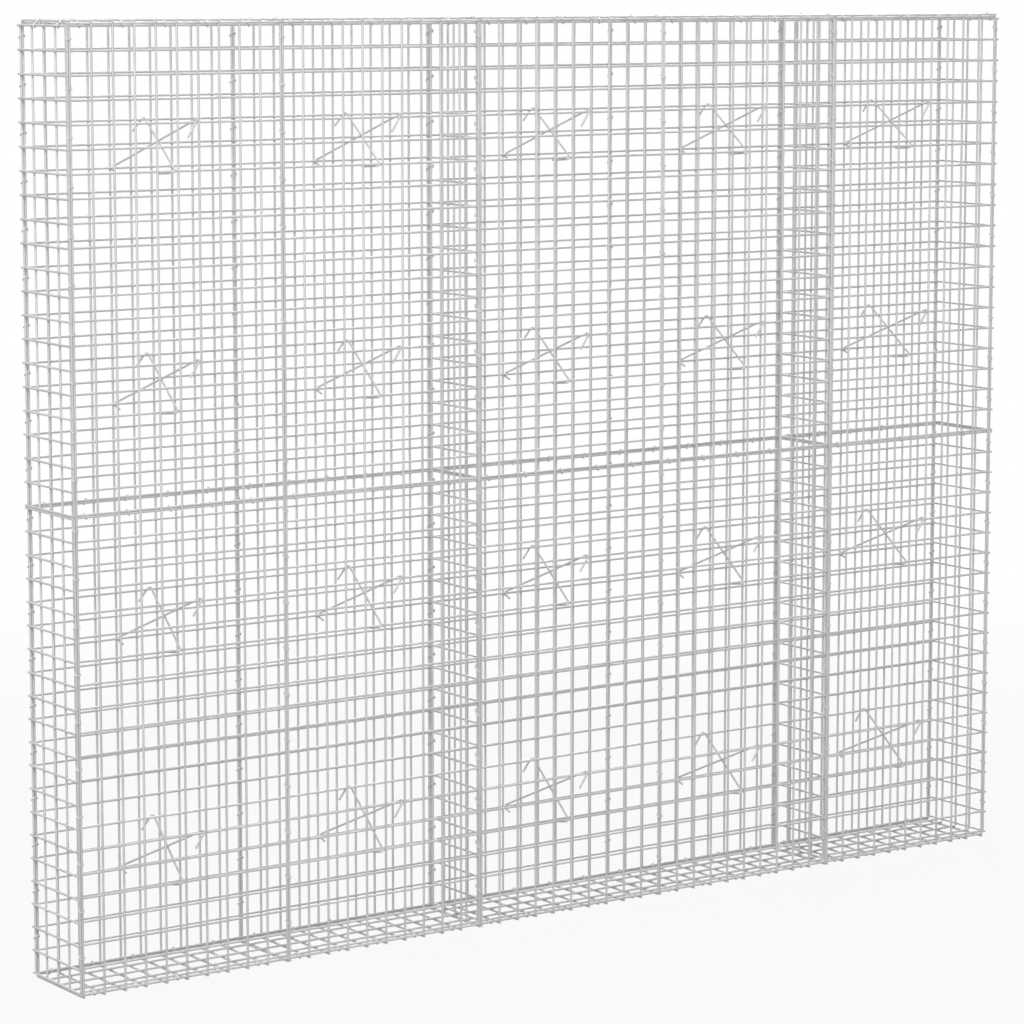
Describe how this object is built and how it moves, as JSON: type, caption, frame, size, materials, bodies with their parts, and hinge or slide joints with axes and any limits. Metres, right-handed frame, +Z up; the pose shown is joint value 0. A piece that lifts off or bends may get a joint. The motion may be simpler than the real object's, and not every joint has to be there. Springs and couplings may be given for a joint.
{
  "type": "gabion basket",
  "caption": "Tall narrow gabion basket of welded galvanised mesh panels, bound at the seams with wire rings, with dividers and crossed tie wires inside.",
  "frame": {"origin": "on the ground, under the middle of the basket", "axes": "+X along the basket, +Y from the front wall to the back wall, +Z up"},
  "size_m": [2.5558, 0.216, 2.0351],
  "materials": {
    "mesh_wire": "galvanised, dull",
    "ring_wire": "galvanised, bright",
    "tie_wire": "galvanised, dull"
  },
  "bodies": {
    "root": {"front_panel_1_lower": "mesh_wire", "front_panel_1_upper": "mesh_wire", "front_panel_2_lower": "mesh_wire", "front_panel_2_upper": "mesh_wire", "front_panel_3_lower": "mesh_wire", "front_panel_3_upper": "mesh_wire", "front_panel_4_lower": "mesh_wire", "front_panel_4_upper": "mesh_wire", "front_panel_5_lower": "mesh_wire", "front_panel_5_upper": "mesh_wire", "back_panel_1_lower": "mesh_wire", "back_panel_1_upper": "mesh_wire", "back_panel_2_lower": "mesh_wire", "back_panel_2_upper": "mesh_wire", "back_panel_3_lower": "mesh_wire", "back_panel_3_upper": "mesh_wire", "back_panel_4_lower": "mesh_wire", "back_panel_4_upper": "mesh_wire", "back_panel_5_lower": "mesh_wire", "back_panel_5_upper": "mesh_wire", "left_end_lower": "mesh_wire", "left_end_upper": "mesh_wire", "right_end_lower": "mesh_wire", "right_end_upper": "mesh_wire", "divider_1_lower": "mesh_wire", "divider_1_upper": "mesh_wire", "divider_2_lower": "mesh_wire", "divider_2_upper": "mesh_wire", "base_panel_1": "mesh_wire", "base_panel_2": "mesh_wire", "base_panel_3": "mesh_wire", "base_panel_4": "mesh_wire", "base_panel_5": "mesh_wire", "lid_panel_1": "mesh_wire", "lid_panel_2": "mesh_wire", "lid_panel_3": "mesh_wire", "lid_panel_4": "mesh_wire", "lid_panel_5": "mesh_wire", "front_seam_rings": "ring_wire", "back_seam_rings": "ring_wire", "middle_rings": "ring_wire", "lid_rings": "ring_wire", "base_rings": "ring_wire", "tie_wires_lower": "tie_wire", "tie_wires_upper": "tie_wire"}
  },
  "joints": []
}
